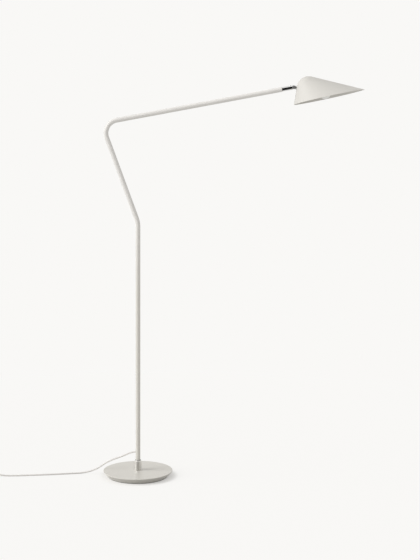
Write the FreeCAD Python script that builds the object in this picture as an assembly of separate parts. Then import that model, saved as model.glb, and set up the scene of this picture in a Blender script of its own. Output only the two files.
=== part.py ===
"""Floor lamp: a rigid bent tube on a heavy round base, with a cone shade on a swivelling knuckle.

Millimetres, +Z up. The origin is on the floor, under the axis of the upright tube.
The arm points along +X. The cord leaves the tube towards -X.
"""

import FreeCAD, Part
import math
import os

# ---------------------------------------------------------------- driving dimensions

FIT = 0.05                # gap between pieces that are fixed to each other, and of a shaft in its hole
APART = 0.3               # gap between pieces that move past each other

# base
BASE_D = 240.0            # over the lip of the plate
BASE_FOOT_D = 211.0       # where the plate meets its pad
PLATE_T = 18.0
PAD_T = 2.0
PAD_INSET = 1.5           # the pad stops this far inside the foot of the plate
LIP_T = 3.0
LIP_STEP = 1.6            # the lip stands out this far over the tapered side
LIP_ROUND = 1.2
RECESS_D = 64.0           # pocket for the nut under the plate
RECESS_DEPTH = 8.0

# upright, slant and arm, one bent tube
TUBE_D = 16.0
TUBE_WALL = 1.5
LOWER_BEND_Z = 883.0      # where the axes of the upright and the slant cross
SLANT_LENGTH = 356.4      # between the two bends' crossing points
SLANT_LEAN = 20.26        # degrees back from upright
ARM_LENGTH = 659.1        # from the upper bend's crossing point to the head's pivot
ARM_RISE = 10.8           # degrees above level
LOWER_BEND_R = 86.0       # on the tube's axis
UPPER_BEND_R = 44.0

# collar and fixings at the foot of the tube
COLLAR_D = 24.6
COLLAR_H = 35.0
COLLAR_CHAMFER = 2.4
COLLAR_FOOT_CHAMFER = 0.4
SEAL_WALL = 2.0           # dark ring on top of the collar, round the tube
SEAL_T = 1.1
GRUB_D = 4.0
GRUB_UP = 12.0            # above the plate
GRUB_KEY = 2.0            # across the flats of its hexagon
SPIGOT_THREAD_D = 10.0
SPIGOT_IN_TUBE = 42.0
WASHER_D = 30.0
WASHER_T = 2.0
NUT_AF = 17.0
NUT_T = 5.0

# cord's way into the tube
CORD_D = 5.2
CORD_EXIT_Z = 84.0
BUSH_WALL = 1.1
BUSH_FLANGE = 0.9         # how far the flange reaches past the hole
BUSH_FLANGE_T = 0.8
INNER_CABLE_D = 4.4

# swivel on the arm's end
SLEEVE_D = 15.2
SLEEVE_LENGTH = 36.0
SLEEVE_FRONT = 4.2        # from the sleeve's front edge to the pivot
SLEEVE_CHAMFER = 0.7
JOURNAL_D = 10.0
JOURNAL_INSERT = 30.0     # length inside the arm
JOURNAL_WIRE_D = 4.8
LOCK_SCREW_D = 3.0
LOCK_SCREW_BACK = 11.2    # from the pivot
LOCK_HEAD_D = 4.6
LOCK_HEAD_TOP_D = 3.68
LOCK_HEAD_H = 1.3
GROOVE_DEPTH = 1.2
SLEEVE_WEB = 1.5          # wall between the journal's bore and the fork's slot
KNUCKLE_R = 6.0           # round cheeks of the fork
CHEEK_Y = 6.0             # outer faces of the cheeks
CHEEK_ROUND = 1.0
TONGUE_INSET = 0.5        # the tongue's round end lies this far inside the cheeks' round ends
TONGUE_T = 4.4
FRICTION_WASHER_T = 0.45
PIVOT_D = 4.0
PIVOT_HEAD_D = 7.2
PIVOT_HEAD_T = 2.0
PIVOT_HEAD_ROUND = 0.8
PIVOT_KEY = 2.5           # across the flats of its hexagon
PIVOT_KEY_DEPTH = 1.4
PIVOT_NUT_AF = 7.0
PIVOT_NUT_T = 3.0

# shade: a spun cone with a ball nose, cut off slantwise at the rim
SHADE_LENGTH = 241.2      # across the rim, front to back
SHADE_RISE = 12.34        # degrees, the rim's front edge above its back edge
SHADE_BACK_LEAN = 7.64    # degrees from upright, the line down the shade's back
SHADE_FRONT_FALL = 13.46  # degrees below level, the line down the shade's front
SHADE_NOSE_R = 40.3
SHADE_WALL = 1.0
SHADE_PIVOT_DOWN = 48.13   # along the shade's back, from the cone's apex down to the pivot

# lampholder and bulb, on an axis through the pivot
HEAD_DROP = 8.3           # degrees below level
FLANGE_T = 3.9            # between the cheeks' running gap and the shade's back
NIPPLE_D = 9.8
NIPPLE_BORE = 6.0
NIPPLE_SPARE = 2.9        # length of nipple past the lampholder's thread
SEAT_D = 19.0
SEAT_T = 4.2              # from the shade's back to the front of the wedge washer
NIPPLE_NUT_AF = 14.0
NIPPLE_NUT_T = 4.0
NUT_CLEAR = 1.0           # between the nipple's nut and the lampholder
HOLDER_D = 27.0
HOLDER_WALL = 2.0
HOLDER_CAP_L = 14.0
HOLDER_CAP_NOSE_D = 16.0
HOLDER_PAST_CAP = 0.6     # the body's front edge over the end of the bulb's metal cap
HOLDER_LIP = 1.6          # front lip, inwards
HOLDER_CHAMFER = 1.0
CONTACT_DEEP = 18.2       # from the back of the body to the bulb's tip
INSERT_FLOOR_T = 12.0
SHELL_T = 0.4
SHELL_SHORT = 1.0         # the shell ends this far short of the bulb's neck
CONTACT_T = 1.0
CONTACT_D = 5.0
BULB_D = 45.0
BULB_LENGTH = 77.0
BULB_GLASS_T = 0.8
BULB_CAP_D = 13.8
BULB_CAP_L = 18.0
BULB_NECK_INSET = 0.4     # the glass neck lies this far inside the cap's outside
BULB_TIP_L = 3.2
BULB_TIP_D = 8.0
BULB_TIP_RIM = 1.0        # depth of the insulator's edge, each side of the cap's end

# switch on the cord
SWITCH_L = 60.0
SWITCH_W = 28.0
SWITCH_H = 18.0
SWITCH_WALL = 2.0
SWITCH_CORNER_R = 8.0
SWITCH_EDGE_R = 2.0
GLAND_L = 20.0
GLAND_D = 10.0
GLAND_TIP_WALL = 0.9
ROCKER_L = 16.0
ROCKER_W = 9.0
ROCKER_TILT = 7.0         # degrees each way from the middle
ROCKER_PROUD = 2.2        # highest edge over the housing when level
ROCKER_DISH = 0.9         # how far the middle lies below the ends
ROCKER_PIN_D = 2.4
ROCKER_PIN_L = 1.6
ROCKER_PIVOT_DOWN = 3.2   # below the housing's top
LUG_T = 2.0
CASE_SCREW_D = 2.6
CASE_SCREW_HEAD_D = 5.0
CASE_SCREW_HEAD_T = 1.6
CASE_SCREW_KEY = 1.82     # across the flats of its hexagon
CASE_SCREW_FROM_END = 10.0
CASE_SCREW_FROM_SIDE = 5.4
CASE_BOSS_WALL = 1.2
TERMINAL_L = 9.0
TERMINAL_W = 5.0
TERMINAL_H = 5.0
TERMINAL_APART = 12.0
TERMINAL_BORE = 2.6

# stored coil and plug
COIL_TURNS = 3            # turns in each of the two layers
COIL_CLIMB = 0.5          # turns over which the cord climbs to the upper layer
COIL_GAP = 0.6            # between the surfaces of neighbouring turns and of the layers
COIL_MIDDLE_D = 62.0      # at the middle of the turns
COIL_TAIL = 16.0          # straight length from the coil to the plug
TIE_T = 0.8
TIE_W = 6.0
RELIEF_L = 24.0
RELIEF_D = 9.4
RELIEF_TIP_WALL = 0.9
PLUG_L = 35.0
PLUG_W = 26.0
PLUG_SHOULDER = 9.0       # length of the sloping shoulders
PLUG_EDGE_R = 2.0
PIN_D = 4.0
PIN_L = 19.0
PIN_APART = 19.0
PIN_ROUND = 1.4

# the cord's visible stretch: out of the tube, down past the base and along the floor
CORD_BEND_SHARE = 0.45    # of the shorter run at a bend, taken up by the bend
CORD_START_DEPTH = 1.0    # from the tube's outside in to the cord's end
CORD_FLOOR_Z = CORD_D / 2
SWITCH_AXIS_Z = 8.0
SWITCH_START = (-508.0, -25.0)
CORD_ROUTE = [
    (CORD_START_DEPTH - TUBE_D / 2, 0.0, CORD_EXIT_Z),
    (-22.0, 0.0, CORD_EXIT_Z),
    (-54.0, 0.5, 70.5),
    (-90.0, 3.0, 59.5),
    (-117.0, 7.0, 43.5),
    (-141.0, 13.0, 25.0),
    (-167.0, 18.5, 9.5),
    (-198.0, 18.0, CORD_FLOOR_Z),
    (-240.0, 10.0, CORD_FLOOR_Z),
    (-292.0, -1.0, CORD_FLOOR_Z),
    (-350.0, -10.5, CORD_FLOOR_Z),
    (-408.0, -19.0, CORD_FLOOR_Z),
    (-456.0, -24.5, CORD_FLOOR_Z),
    (-488.0, SWITCH_START[1], SWITCH_AXIS_Z),
    (SWITCH_START[0], SWITCH_START[1], SWITCH_AXIS_Z),
]
LINK_RUNS = [10.0, 17.0, 10.0]  # lengths along -X, from the switch's gland to the coil

# ---------------------------------------------------------------- worked-out places

BASE_TOP = PAD_T + PLATE_T
TUBE_R = TUBE_D / 2
BORE_R = TUBE_R - TUBE_WALL
TONGUE_R = KNUCKLE_R - TONGUE_INSET
FLANGE_START = KNUCKLE_R + APART
SHADE_GAP = FLANGE_START + FLANGE_T              # from the pivot to the shade's back
SLEEVE_BACK = SLEEVE_FRONT + SLEEVE_LENGTH
LOWER_BEND = FreeCAD.Vector(0, 0, LOWER_BEND_Z)
UP = FreeCAD.Vector(0, 0, 1)
EAST = FreeCAD.Vector(1, 0, 0)
NORTH = FreeCAD.Vector(0, 1, 0)


def vector(x, y, z):
    return FreeCAD.Vector(x, y, z)


def direction(angle):
    """Unit vector in the XZ plane, at an angle in degrees above +X."""
    return vector(math.cos(math.radians(angle)), 0, math.sin(math.radians(angle)))


UPPER_BEND = LOWER_BEND + direction(90 + SLANT_LEAN) * SLANT_LENGTH
PIVOT = UPPER_BEND + direction(ARM_RISE) * ARM_LENGTH
ARM_END = UPPER_BEND + direction(ARM_RISE) * (ARM_LENGTH - SLEEVE_BACK - APART)

BACK_LINE = direction(90 - SHADE_BACK_LEAN)      # up the shade's back
BACK_NORMAL = direction(-SHADE_BACK_LEAN)        # from the pivot square onto the back
SHADE_APEX = PIVOT + BACK_NORMAL * SHADE_GAP + BACK_LINE * SHADE_PIVOT_DOWN
APEX_ANGLE = 90 + SHADE_BACK_LEAN - SHADE_FRONT_FALL
HALF_ANGLE = math.radians(APEX_ANGLE / 2)
SHADE_AXIS = direction(-(90 + SHADE_BACK_LEAN + SHADE_FRONT_FALL) / 2)
RIM_FRONT_ANGLE = math.radians(SHADE_RISE + SHADE_FRONT_FALL)
BACK_LENGTH = SHADE_LENGTH * math.sin(RIM_FRONT_ANGLE) / math.sin(math.radians(APEX_ANGLE))
RIM_BACK = SHADE_APEX - BACK_LINE * BACK_LENGTH

SEAT_FRONT = SHADE_GAP + SEAT_T
HOLDER_START = SEAT_FRONT + NIPPLE_NUT_T + 2 * FIT + NUT_CLEAR
HOLDER_BODY_START = HOLDER_START + HOLDER_CAP_L
NIPPLE_END = HOLDER_START + 3 * HOLDER_WALL + NIPPLE_SPARE
BULB_TIP = HOLDER_BODY_START + CONTACT_DEEP
BULB_CENTRE = BULB_TIP + BULB_LENGTH - BULB_D / 2
BULB_CAP_START = BULB_TIP + BULB_TIP_L
BULB_NECK = BULB_CAP_START + BULB_CAP_L
HOLDER_END = BULB_NECK + HOLDER_PAST_CAP

SWITCH_MIDDLE = vector(SWITCH_START[0] - GLAND_L - SWITCH_L / 2, SWITCH_START[1], 0)
SWITCH_END = vector(SWITCH_START[0] - 2 * GLAND_L - SWITCH_L, SWITCH_START[1], SWITCH_AXIS_Z)
ROCKER_PIVOT = SWITCH_MIDDLE + UP * (SWITCH_H - ROCKER_PIVOT_DOWN)

COIL_PITCH = CORD_D + COIL_GAP
COIL_OUTER_R = (COIL_MIDDLE_D + COIL_TURNS * COIL_PITCH) / 2
COIL_ALL_TURNS = 2 * COIL_TURNS + COIL_CLIMB
COIL_REVERSE = COIL_ALL_TURNS / 2                # turns at which the spiral changes from inward to outward
COIL_INNER_R = COIL_OUTER_R - COIL_REVERSE * COIL_PITCH
COIL_START_X = SWITCH_END.x - sum(LINK_RUNS)
COIL_CENTRE = vector(COIL_START_X - CORD_D, SWITCH_START[1] + COIL_OUTER_R, CORD_FLOOR_Z)
COIL_TOP_Z = CORD_FLOOR_Z + COIL_PITCH
PLUG_T = 2 * (COIL_TOP_Z - APART)
PLUG_START = COIL_CENTRE + vector(COIL_TAIL, COIL_OUTER_R, COIL_PITCH)

# ---------------------------------------------------------------- shaping helpers


def save(name, *solids):
    """Writes one node. A node of several like pieces is a group of separate solids."""
    shape = solids[0] if len(solids) == 1 else Part.makeCompound(list(solids))
    shape.exportStep("parts/" + name + ".step")
    print(name, "solids", len(shape.Solids), "volume", round(shape.Volume, 1))


def rod(radius, start, end):
    """Round bar between two points."""
    span = end - start
    return Part.makeCylinder(radius, span.Length, start, span)


def ring(outer, inner, start, end):
    return rod(outer, start, end).cut(rod(inner, start, end))


def block(low, high):
    return Part.makeBox(high[0] - low[0], high[1] - low[1], high[2] - low[2], vector(*low))


def hexagon(across_flats, start, length, along):
    """Hexagonal bar along a unit vector."""
    corner = across_flats / 2 / math.cos(math.pi / 6)
    side = along.cross(UP) if abs(along.z) < 0.5 else EAST
    side.normalize()
    other = along.cross(side)
    corners = []
    for k in range(7):
        a = math.radians(60 * k)
        corners.append(start + side * (corner * math.cos(a)) + other * (corner * math.sin(a)))
    return Part.Face(Part.makePolygon(corners)).extrude(along * length)


def turned(profile, axis_start=FreeCAD.Vector(0, 0, 0), along=FreeCAD.Vector(0, 0, 1)):
    """Lathe-turned solid. The profile lists (radius, distance along the axis)."""
    corners = [vector(r, 0, h) for r, h in profile]
    face = Part.Face(Part.makePolygon(corners + corners[:1]))
    solid = face.revolve(vector(0, 0, 0), UP, 360)
    solid.Placement = FreeCAD.Placement(axis_start, FreeCAD.Rotation(UP, along))
    return solid


TINY = 1e-4               # what two equal lengths may differ by


def circles_at(solid, radius):
    """Full-circle edges of one radius."""
    found = []
    for edge in solid.Edges:
        if isinstance(edge.Curve, Part.Circle) and abs(edge.Curve.Radius - radius) < TINY:
            found.append(edge)
    return found


def on_arm(solid):
    """Moves a piece made along +X from the pivot onto the arm's axis."""
    return solid.transformed(FreeCAD.Placement(PIVOT, FreeCAD.Rotation(NORTH, -ARM_RISE)).toMatrix())


def on_head(solid):
    """Moves a piece made along +X from the pivot onto the lampholder's axis."""
    return solid.transformed(FreeCAD.Placement(PIVOT, FreeCAD.Rotation(NORTH, HEAD_DROP)).toMatrix())


def at(x, y=0.0, z=0.0):
    """A point counted along the axis of the arm or the head."""
    return vector(x, y, z)


def arc_from(start, heading, end):
    """Circular arc that leaves start along heading and arrives at end."""
    chord = end - start
    side = chord - heading * chord.dot(heading)
    side.normalize()
    radius = chord.dot(chord) / (2 * chord.dot(side))
    centre = start + side * radius
    middle = (start - centre) + (end - centre)
    middle.normalize()
    return Part.Arc(start, centre + middle * radius, end).toShape(), radius


def bent_line(points, radii):
    """Straight runs through the points, joined by tangent arcs of the given radii."""
    edges = []
    last = points[0]
    for k in range(1, len(points) - 1):
        before = (points[k] - points[k - 1]).normalize()
        after = (points[k + 1] - points[k]).normalize()
        cut_back = radii[k - 1] * math.tan(before.getAngle(after) / 2)
        start = points[k] - before * cut_back
        end = points[k] + after * cut_back
        edges.append(Part.LineSegment(last, start).toShape())
        edges.append(arc_from(start, before, end)[0])
        last = end
    edges.append(Part.LineSegment(last, points[-1]).toShape())
    return edges


def piped(edges, radius):
    """Solid round bar along joined edges."""
    path = Part.Wire(edges)
    start = path.Edges[0].valueAt(path.Edges[0].FirstParameter)
    heading = path.Edges[0].tangentAt(path.Edges[0].FirstParameter)
    section = Part.Wire(Part.makeCircle(radius, start, heading))
    solid = path.makePipeShell([section], True, False)
    print("  length", round(path.Length, 1), "volume share",
          round(solid.Volume / (math.pi * radius ** 2 * path.Length), 4))
    return solid


def cord_radii(name, points):
    """Each bend as large as its two runs allow."""
    radii = []
    for k in range(1, len(points) - 1):
        before = points[k] - points[k - 1]
        after = points[k + 1] - points[k]
        shorter = min(before.Length, after.Length)
        radii.append(CORD_BEND_SHARE * shorter / math.tan(before.getAngle(after) / 2))
    print(name, "bend radii", [round(r) for r in radii])
    return radii


# ---------------------------------------------------------------- base


def base_plate():
    outer = BASE_D / 2
    hole = SPIGOT_THREAD_D / 2 + APART
    plate = turned([
        (hole, PAD_T + RECESS_DEPTH),
        (RECESS_D / 2, PAD_T + RECESS_DEPTH),
        (RECESS_D / 2, PAD_T),
        (BASE_FOOT_D / 2, PAD_T),
        (outer - LIP_STEP, BASE_TOP - LIP_T),
        (outer, BASE_TOP - LIP_T),
        (outer, BASE_TOP),
        (hole, BASE_TOP),
    ])
    return plate.makeFillet(LIP_ROUND, circles_at(plate, outer))


def base_pad():
    return rod(BASE_FOOT_D / 2 - PAD_INSET, vector(0, 0, 0), vector(0, 0, PAD_T))


def base_collar():
    outer = COLLAR_D / 2
    inner = TUBE_R + FIT
    top = BASE_TOP + COLLAR_H
    collar = turned([
        (inner, BASE_TOP),
        (outer - COLLAR_FOOT_CHAMFER, BASE_TOP),
        (outer, BASE_TOP + COLLAR_FOOT_CHAMFER),
        (outer, top - COLLAR_CHAMFER),
        (outer - COLLAR_CHAMFER, top),
        (inner, top),
    ])
    height = BASE_TOP + GRUB_UP
    return collar.cut(rod(GRUB_D / 2 + FIT, vector(0, 0, height), vector(0, COLLAR_D, height)))


def collar_seal():
    """Thin ring that closes the gap between the collar and the tube."""
    top = BASE_TOP + COLLAR_H
    return ring(TUBE_R + SEAL_WALL, TUBE_R + FIT, vector(0, 0, top), vector(0, 0, top + SEAL_T))


def collar_grub_screw():
    height = BASE_TOP + GRUB_UP
    inner = TUBE_R + FIT
    outer = COLLAR_D / 2 - COLLAR_FOOT_CHAMFER
    screw = rod(GRUB_D / 2, vector(0, inner, height), vector(0, outer, height))
    depth = (outer - inner) / 2
    return screw.cut(hexagon(GRUB_KEY, vector(0, outer - depth, height), depth, NORTH))


def foot_spigot():
    thread = SPIGOT_THREAD_D / 2
    return turned([
        (0, PAD_T + 2 * APART),
        (thread, PAD_T + 2 * APART),
        (thread, BASE_TOP),
        (BORE_R - FIT, BASE_TOP),
        (BORE_R - FIT, BASE_TOP + SPIGOT_IN_TUBE),
        (0, BASE_TOP + SPIGOT_IN_TUBE),
    ])


def foot_washer():
    top = PAD_T + RECESS_DEPTH
    return ring(WASHER_D / 2, SPIGOT_THREAD_D / 2 + FIT, vector(0, 0, top - WASHER_T), vector(0, 0, top))


def foot_nut():
    top = PAD_T + RECESS_DEPTH - WASHER_T
    nut = hexagon(NUT_AF, vector(0, 0, top - NUT_T), NUT_T, UP)
    return nut.cut(rod(SPIGOT_THREAD_D / 2 + FIT, vector(0, 0, top - NUT_T), vector(0, 0, top)))


# ---------------------------------------------------------------- bent tube


def stem_line():
    points = [vector(0, 0, BASE_TOP), LOWER_BEND, UPPER_BEND, ARM_END]
    return bent_line(points, [LOWER_BEND_R, UPPER_BEND_R])


def stem_tube():
    tube = piped(stem_line(), TUBE_R).cut(piped(stem_line(), BORE_R))
    hole = CORD_D / 2 + BUSH_WALL + FIT
    return tube.cut(rod(hole, vector(-TUBE_D, 0, CORD_EXIT_Z), vector(0, 0, CORD_EXIT_Z)))


def cord_bush():
    """Grommet that lines the hole in the tube, with a flange shaped to the tube."""
    through = CORD_D / 2 + BUSH_WALL
    outer = TUBE_R + BUSH_FLANGE_T
    back = vector(-BORE_R, 0, CORD_EXIT_Z)
    body = rod(through, back, vector(-outer - FIT, 0, CORD_EXIT_Z))
    flange = rod(through + BUSH_FLANGE, back, vector(-outer - FIT, 0, CORD_EXIT_Z))
    axis_low = vector(0, 0, CORD_EXIT_Z - TUBE_D)
    axis_high = vector(0, 0, CORD_EXIT_Z + TUBE_D)
    flange = flange.cut(rod(TUBE_R + FIT, axis_low, axis_high))
    bush = body.fuse(flange).common(rod(outer, axis_low, axis_high))
    return bush.cut(rod(CORD_D / 2 + FIT, vector(-TUBE_D, 0, CORD_EXIT_Z), vector(0, 0, CORD_EXIT_Z)))


def stem_cable():
    """Inner cable, from behind the bush up the middle of the tube to the arm's end."""
    turn = BORE_R - FIT
    start = vector(-turn, 0, CORD_EXIT_Z)
    first, radius = arc_from(start, EAST, vector(0, 0, CORD_EXIT_Z + turn))
    rise = [vector(0, 0, CORD_EXIT_Z + turn), LOWER_BEND, UPPER_BEND]
    end = PIVOT - direction(ARM_RISE) * (SLEEVE_BACK + JOURNAL_INSERT + 2 * APART)
    return piped([first] + bent_line(rise + [end], [LOWER_BEND_R, UPPER_BEND_R]), INNER_CABLE_D / 2)


# ---------------------------------------------------------------- swivel


def arm_journal():
    """Plug fixed in the arm's end. Its journal carries the sleeve; a groove takes the lock screw."""
    journal = JOURNAL_D / 2
    front = TONGUE_R + APART + SLEEVE_WEB + APART
    groove = LOCK_SCREW_D / 2 + FIT
    bore = JOURNAL_WIRE_D / 2
    plug = turned([
        (bore, -SLEEVE_BACK - JOURNAL_INSERT),
        (BORE_R - FIT, -SLEEVE_BACK - JOURNAL_INSERT),
        (BORE_R - FIT, -SLEEVE_BACK - APART),
        (journal, -SLEEVE_BACK - APART),
        (journal, -LOCK_SCREW_BACK - groove),
        (journal - GROOVE_DEPTH, -LOCK_SCREW_BACK - groove),
        (journal - GROOVE_DEPTH, -LOCK_SCREW_BACK + groove),
        (journal, -LOCK_SCREW_BACK + groove),
        (journal, -front),
        (bore, -front),
    ], along=EAST)
    return on_arm(plug)


def swivel_sleeve():
    """Chromed sleeve that turns on the journal, with a fork for the head's tongue."""
    outer = SLEEVE_D / 2
    sleeve = turned([
        (0, -SLEEVE_BACK),
        (outer - SLEEVE_CHAMFER, -SLEEVE_BACK),
        (outer, -SLEEVE_BACK + SLEEVE_CHAMFER),
        (outer, -SLEEVE_FRONT - SLEEVE_CHAMFER),
        (outer - SLEEVE_CHAMFER, -SLEEVE_FRONT),
        (0, -SLEEVE_FRONT),
    ], along=EAST)
    cheeks = rod(KNUCKLE_R, at(0, -CHEEK_Y), at(0, CHEEK_Y))
    cheeks = cheeks.makeFillet(CHEEK_ROUND, circles_at(cheeks, KNUCKLE_R))
    neck_y = CHEEK_Y - 1.5 * CHEEK_ROUND
    neck_z = KNUCKLE_R - CHEEK_ROUND
    neck = block((-SLEEVE_FRONT - 2 * SLEEVE_CHAMFER, -neck_y, -neck_z), (0, neck_y, neck_z))
    sleeve = sleeve.fuse([cheeks, neck])
    slot = TONGUE_T / 2 + FRICTION_WASHER_T + 2 * FIT
    slot_back = TONGUE_R + APART
    sleeve = sleeve.cut(block((-slot_back, -slot, -SLEEVE_D), (SLEEVE_D, slot, SLEEVE_D)))
    sleeve = sleeve.cut(rod(JOURNAL_D / 2 + FIT, at(-SLEEVE_BACK), at(-slot_back - SLEEVE_WEB)))
    sleeve = sleeve.cut(rod(PIVOT_D / 2 + FIT, at(0, -SLEEVE_D), at(0, SLEEVE_D)))
    screw_top = at(-LOCK_SCREW_BACK, 0, SLEEVE_D)
    return on_arm(sleeve.cut(rod(LOCK_SCREW_D / 2 + FIT, at(-LOCK_SCREW_BACK), screw_top)))


def lock_screw():
    """Holds the sleeve on the journal; its tip runs in the journal's groove."""
    tip = JOURNAL_D / 2 - GROOVE_DEPTH + FIT
    seat = SLEEVE_D / 2
    screw = turned([
        (0, tip),
        (LOCK_SCREW_D / 2, tip),
        (LOCK_SCREW_D / 2, seat - FIT),
        (LOCK_HEAD_D / 2, seat - FIT),
        (LOCK_HEAD_TOP_D / 2, seat + LOCK_HEAD_H),
        (0, seat + LOCK_HEAD_H),
    ], axis_start=at(-LOCK_SCREW_BACK))
    head_seat = rod(SLEEVE_D / 2 + FIT, at(-SLEEVE_BACK), at(-SLEEVE_FRONT))
    screw_top = at(-LOCK_SCREW_BACK, 0, SLEEVE_D)
    head_seat = head_seat.cut(rod(LOCK_SCREW_D / 2, at(-LOCK_SCREW_BACK), screw_top))
    key_start = at(-LOCK_SCREW_BACK, 0, seat + LOCK_HEAD_H / 2)
    return on_arm(screw.cut(head_seat).cut(hexagon(GRUB_KEY, key_start, LOCK_HEAD_H, UP)))


def pivot_screw():
    """Cross screw through the fork and the tongue; its head faces -Y."""
    seat = CHEEK_Y + FIT
    head = rod(PIVOT_HEAD_D / 2, at(0, -seat - PIVOT_HEAD_T), at(0, -seat))
    front = [e for e in circles_at(head, PIVOT_HEAD_D / 2) if e.CenterOfMass.y < -seat - FIT]
    head = head.makeFillet(PIVOT_HEAD_ROUND, front)
    screw = head.fuse(rod(PIVOT_D / 2, at(0, -seat), at(0, seat + PIVOT_NUT_T)))
    key_start = at(0, -seat - PIVOT_HEAD_T)
    return on_arm(screw.cut(hexagon(PIVOT_KEY, key_start, PIVOT_KEY_DEPTH, NORTH)))


def pivot_nut():
    seat = CHEEK_Y + FIT
    nut = hexagon(PIVOT_NUT_AF, at(0, seat), PIVOT_NUT_T - FIT, NORTH)
    return on_arm(nut.cut(rod(PIVOT_D / 2 + FIT, at(0, seat), at(0, seat + PIVOT_NUT_T))))


def friction_washers():
    """One washer each side of the tongue."""
    near = TONGUE_T / 2 + FIT
    far = near + FRICTION_WASHER_T
    washers = []
    for side in (-1, 1):
        washer = ring(TONGUE_R, PIVOT_D / 2 + FIT, at(0, side * near), at(0, side * far))
        washers.append(on_arm(washer))
    return washers


# ---------------------------------------------------------------- shade


def cone_body(inset):
    """Solid under the shade's outer surface, or under that surface moved in by inset."""
    nose = SHADE_NOSE_R - inset
    ball = SHADE_NOSE_R / math.sin(HALF_ANGLE)
    tip = inset / math.sin(HALF_ANGLE)
    tangent = nose / math.tan(HALF_ANGLE)
    far = 1.2 * SHADE_LENGTH
    side_start = vector(tangent * math.sin(HALF_ANGLE), 0, tip + tangent * math.cos(HALF_ANGLE))
    side_end = vector(far * math.sin(HALF_ANGLE), 0, tip + far * math.cos(HALF_ANGLE))
    top = vector(0, 0, ball - nose)
    half = (math.pi / 2 - HALF_ANGLE) / 2
    on_nose = vector(nose * math.sin(half), 0, ball - nose * math.cos(half))
    axis_end = vector(0, 0, side_end.z)
    outline = Part.Wire([
        Part.Arc(top, on_nose, side_start).toShape(),
        Part.LineSegment(side_start, side_end).toShape(),
        Part.LineSegment(side_end, axis_end).toShape(),
        Part.LineSegment(axis_end, top).toShape(),
    ])
    body = Part.Face(outline).revolve(vector(0, 0, 0), UP, 360)
    turn = math.degrees(math.atan2(SHADE_AXIS.x, SHADE_AXIS.z))
    body.Placement = FreeCAD.Placement(SHADE_APEX, FreeCAD.Rotation(NORTH, turn))
    return body


def below_rim():
    """Everything under the plane of the rim."""
    size = 2 * SHADE_LENGTH
    half_space = block((-size / 2, -size / 2, -size), (size, size / 2, 0))
    half_space.Placement = FreeCAD.Placement(RIM_BACK, FreeCAD.Rotation(NORTH, -SHADE_RISE))
    return half_space


def shade():
    shell = cone_body(0).cut(cone_body(SHADE_WALL)).cut(below_rim())
    hole = on_head(rod(NIPPLE_D / 2 + FIT, at(0), at(SEAT_FRONT + SHADE_WALL)))
    return shell.cut(hole)


def head_knuckle():
    """Tongue, flange against the shade's back, and hollow threaded nipple."""
    tongue = rod(TONGUE_R, at(0, -TONGUE_T / 2), at(0, TONGUE_T / 2))
    tongue = tongue.fuse(block((0, -TONGUE_T / 2, -TONGUE_R), (SEAT_FRONT, TONGUE_T / 2, TONGUE_R)))
    flange = rod(KNUCKLE_R, at(FLANGE_START), at(SEAT_FRONT))
    outside = on_head(tongue.fuse(flange)).cut(cone_body(-FIT))
    nipple = on_head(rod(NIPPLE_D / 2, at(FLANGE_START), at(NIPPLE_END)))
    bore = on_head(rod(NIPPLE_BORE / 2, at(SHADE_GAP), at(NIPPLE_END)))
    pin_hole = on_head(rod(PIVOT_D / 2 + FIT, at(0, -SLEEVE_D), at(0, SLEEVE_D)))
    return outside.fuse(nipple).removeSplitter().cut(bore).cut(pin_hole)


def seat_washer():
    """Wedge washer that squares the nipple to the sloping back of the shade."""
    disc = on_head(ring(SEAT_D / 2, NIPPLE_D / 2 + FIT, at(0), at(SEAT_FRONT)))
    return disc.common(cone_body(SHADE_WALL + FIT))


def nipple_nut():
    start = SEAT_FRONT + FIT
    nut = hexagon(NIPPLE_NUT_AF, at(start), NIPPLE_NUT_T, EAST)
    return on_head(nut.cut(rod(NIPPLE_D / 2 + FIT, at(start), at(start + NIPPLE_NUT_T))))


# ---------------------------------------------------------------- lampholder and bulb


def holder_cap():
    """Domed back of the lampholder, screwed on the nipple."""
    nose = HOLDER_CAP_NOSE_D / 2
    outer = HOLDER_D / 2
    inner = outer - HOLDER_WALL
    thread = NIPPLE_D / 2 + FIT
    shoulder = HOLDER_START + HOLDER_CAP_L / 2
    return on_head(turned([
        (thread, HOLDER_START),
        (nose, HOLDER_START),
        (outer, shoulder),
        (outer, HOLDER_BODY_START),
        (inner, HOLDER_BODY_START),
        (inner, shoulder + HOLDER_CHAMFER),
        (nose, HOLDER_START + 2 * HOLDER_WALL),
        (nose, HOLDER_START + 3 * HOLDER_WALL),
        (thread, HOLDER_START + 3 * HOLDER_WALL),
    ], along=EAST))


def holder_body():
    outer = HOLDER_D / 2
    inner = outer - HOLDER_WALL
    return on_head(turned([
        (inner, HOLDER_BODY_START + FIT),
        (outer, HOLDER_BODY_START + FIT),
        (outer, HOLDER_END - HOLDER_CHAMFER),
        (outer - HOLDER_CHAMFER, HOLDER_END),
        (inner - HOLDER_LIP, HOLDER_END),
        (inner - HOLDER_LIP, HOLDER_END - HOLDER_WALL),
        (inner, HOLDER_END - HOLDER_WALL),
    ], along=EAST))


def holder_insert():
    """Insulating cup that carries the threaded shell and the contact."""
    outer = HOLDER_D / 2 - HOLDER_WALL - FIT
    floor_back = BULB_TIP - CONTACT_T - INSERT_FLOOR_T
    floor_front = BULB_TIP - CONTACT_T
    cup = BULB_CAP_D / 2 + SHELL_T + 4 * FIT
    return on_head(turned([
        (INNER_CABLE_D / 2 + FIT, floor_back),
        (outer, floor_back),
        (outer, HOLDER_END - HOLDER_WALL - FIT),
        (cup, HOLDER_END - HOLDER_WALL - FIT),
        (cup, floor_front),
        (INNER_CABLE_D / 2 + FIT, floor_front),
    ], along=EAST))


def holder_shell():
    """Metal shell that the bulb screws into."""
    inner = BULB_CAP_D / 2 + 2 * FIT
    return on_head(ring(inner + SHELL_T, inner, at(BULB_CAP_START), at(BULB_NECK - SHELL_SHORT)))


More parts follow.
